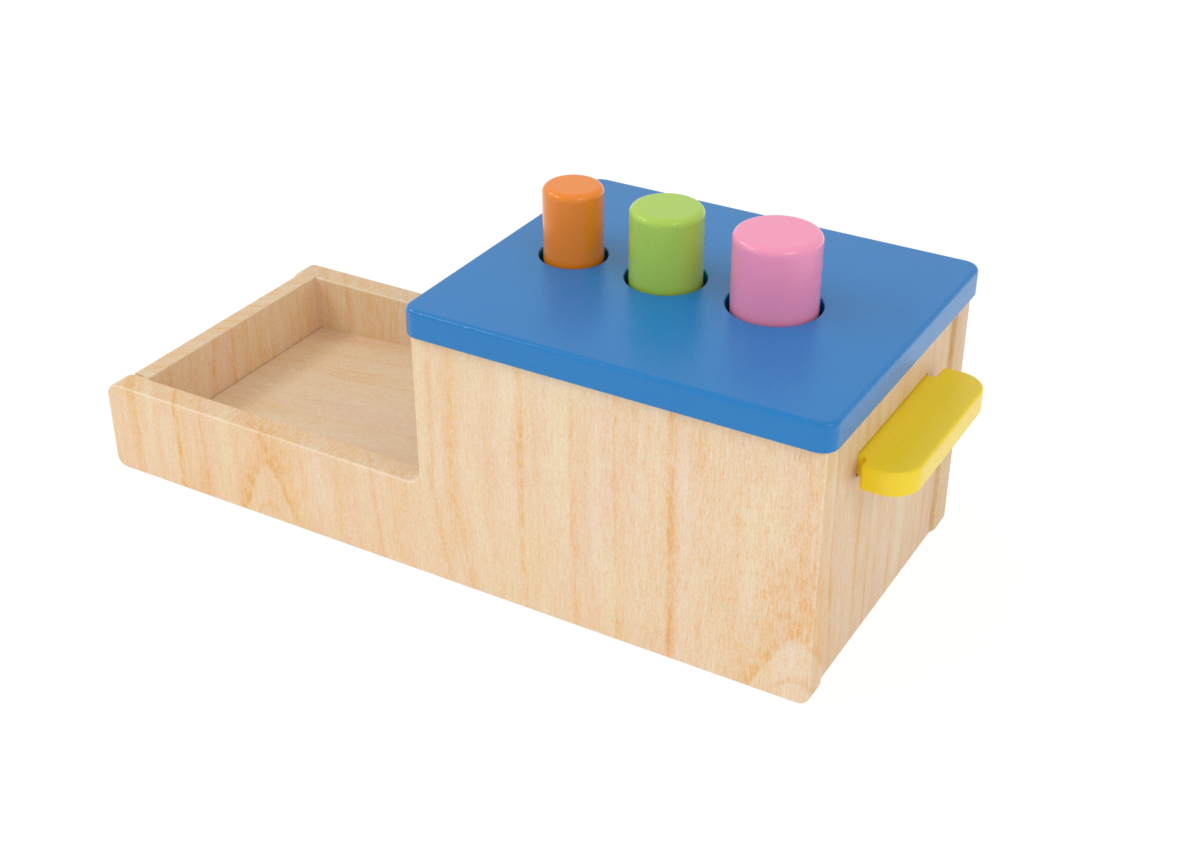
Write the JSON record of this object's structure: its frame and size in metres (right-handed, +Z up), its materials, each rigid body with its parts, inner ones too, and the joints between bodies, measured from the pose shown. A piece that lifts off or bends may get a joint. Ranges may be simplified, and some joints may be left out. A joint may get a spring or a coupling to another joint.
{
  "type": "object permanence box",
  "caption": "Wooden baby toy: a lidded box whose round pegs stand on a pull-out shutter over a sloping floor that leads into an open tray.",
  "frame": {"origin": "on the table, under the middle of the whole object's bounding box", "axes": "+X from the tray towards the handle, +Y from the front panel to the back panel, +Z up"},
  "size_m": [0.3712, 0.1514, 0.1565],
  "materials": {
    "pale_wood": "pale straight-grained wood with golden streaks, sanded and clear satin lacquered",
    "floor_wood": "pale wood with its grain along the box, sanded and clear satin lacquered",
    "dowel_wood": "beech dowel, bare",
    "blue_paint": "wood under satin blue paint with a fine orange peel",
    "yellow_paint": "wood under satin yellow paint with a fine orange peel",
    "orange_paint": "wood under satin orange paint",
    "green_paint": "wood under satin light green paint",
    "pink_paint": "wood under satin pink paint"
  },
  "bodies": {
    "root": {"front_side_panel": "pale_wood", "back_side_panel": "pale_wood", "tray_end_wall": "pale_wood", "handle_end_wall": "pale_wood", "chute_wall": "pale_wood", "sloping_floor": "floor_wood", "lid": "blue_paint", "front_guide_rail": "pale_wood", "back_guide_rail": "pale_wood", "tray_end_dowels": "dowel_wood", "handle_end_dowels": "dowel_wood", "chute_wall_dowels": "dowel_wood", "rail_dowels": "dowel_wood", "lid_dowels": "dowel_wood"},
    "shutter": {"sliding_shutter": "yellow_paint", "stop_pins": "dowel_wood"},
    "small_peg": {"small_peg": "orange_paint"},
    "medium_peg": {"medium_peg": "green_paint"},
    "large_peg": {"large_peg": "pink_paint"}
  },
  "joints": [
    {"name": "shutter_pull", "type": "slide", "parent": "root", "child": "shutter", "axis": [1, 0, 0], "range_m": [0, 0.1297]},
    {"name": "small_peg_lift", "type": "slide", "parent": "root", "child": "small_peg", "axis": [0, 0, 1], "range_m": [0, 0.05]},
    {"name": "medium_peg_lift", "type": "slide", "parent": "root", "child": "medium_peg", "axis": [0, 0, 1], "range_m": [0, 0.05]},
    {"name": "large_peg_lift", "type": "slide", "parent": "root", "child": "large_peg", "axis": [0, 0, 1], "range_m": [0, 0.05]}
  ]
}
